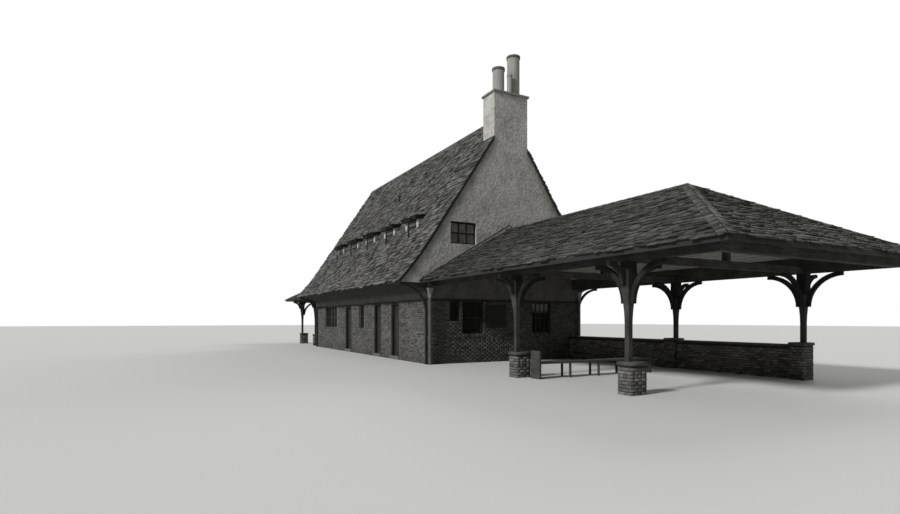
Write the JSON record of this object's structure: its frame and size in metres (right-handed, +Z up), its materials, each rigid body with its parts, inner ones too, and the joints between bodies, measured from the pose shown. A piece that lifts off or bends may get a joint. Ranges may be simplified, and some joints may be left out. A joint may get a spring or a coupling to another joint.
{
  "type": "railway station building",
  "caption": "Cottage-style railway station: brick ground storey, coved eaves, steep bell-cast roof with dormers, gable chimney, hinged street doors and a hipped timber canopy at each end.",
  "frame": {"origin": "on the ground, under the middle of the main block", "axes": "+X along the building towards the gable with the chimney, +Y from the street side to the rear, +Z up"},
  "size_m": [34.745, 9.3, 12.115],
  "materials": {
    "floor": "smooth concrete",
    "boards": "bare boards",
    "brick": "rough brick with pale mortar",
    "timber": "dark stained timber",
    "plaster": "smooth plaster",
    "stucco": "rough trowelled stucco",
    "roof": "thick ragged slates",
    "canopy_roof": "thick slates",
    "stone": "dressed stone",
    "clay": "pale rendered clay",
    "metal": "dull dark sheet",
    "white_paint": "white oil paint on timber",
    "grey_paint": "grey oil paint on timber",
    "door_paint": "dark oil paint on timber",
    "glass": "clear",
    "bench_wood": "weathered boards",
    "pipe_paint": "pale galvanised sheet"
  },
  "bodies": {
    "root": {"floor_slab": "floor", "attic_floor": "boards", "front_wall": "brick", "rear_wall": "brick", "end_walls": "brick", "long_belts": "timber", "end_belts": "timber", "upper_long_walls": "plaster", "gables": "stucco", "eave_coves": "plaster", "corner_brackets": "timber", "front_roof": "roof", "rear_roof": "roof", "ridge_cap": "roof", "chimney_stack": "stucco", "chimney_cap": "stone", "chimney_pots": "clay", "vent_pipe": "metal", "dormer_hoods": "roof", "dormer_jambs": "white_paint", "dormer_louvres": "grey_paint", "door_jambs": "timber", "door_heads": "timber", "door_sills": "stone", "rear_doors": "door_paint", "ground_window_frames": "timber", "gable_window_frames": "timber", "window_glass": "glass", "canopy_front_slopes": "canopy_roof", "canopy_rear_slopes": "canopy_roof", "canopy_hip_ends": "canopy_roof", "canopy_ridge_caps": "canopy_roof", "canopy_piers": "brick", "canopy_posts": "timber", "canopy_beams": "timber", "canopy_ties": "timber", "canopy_braces": "timber", "parapet": "brick", "canopy_flashings": "metal", "bench": "bench_wood", "downspouts": "pipe_paint", "notice_board": "timber"},
    "near_door_leaf": {"near_door": "door_paint"},
    "middle_door_leaf": {"middle_door": "door_paint"},
    "far_door_leaf": {"far_door": "door_paint"}
  },
  "joints": [
    {"name": "near_door_hinge", "type": "hinge", "parent": "root", "child": "near_door_leaf", "pos_m": [4.16, -3.32, 1.2], "axis": [0, 0, 1], "range_deg": [0, 90]},
    {"name": "middle_door_hinge", "type": "hinge", "parent": "root", "child": "middle_door_leaf", "pos_m": [2.16, -3.32, 1.2], "axis": [0, 0, 1], "range_deg": [0, 90]},
    {"name": "far_door_hinge", "type": "hinge", "parent": "root", "child": "far_door_leaf", "pos_m": [-2.01, -3.32, 1.2], "axis": [0, 0, 1], "range_deg": [0, 90]}
  ]
}
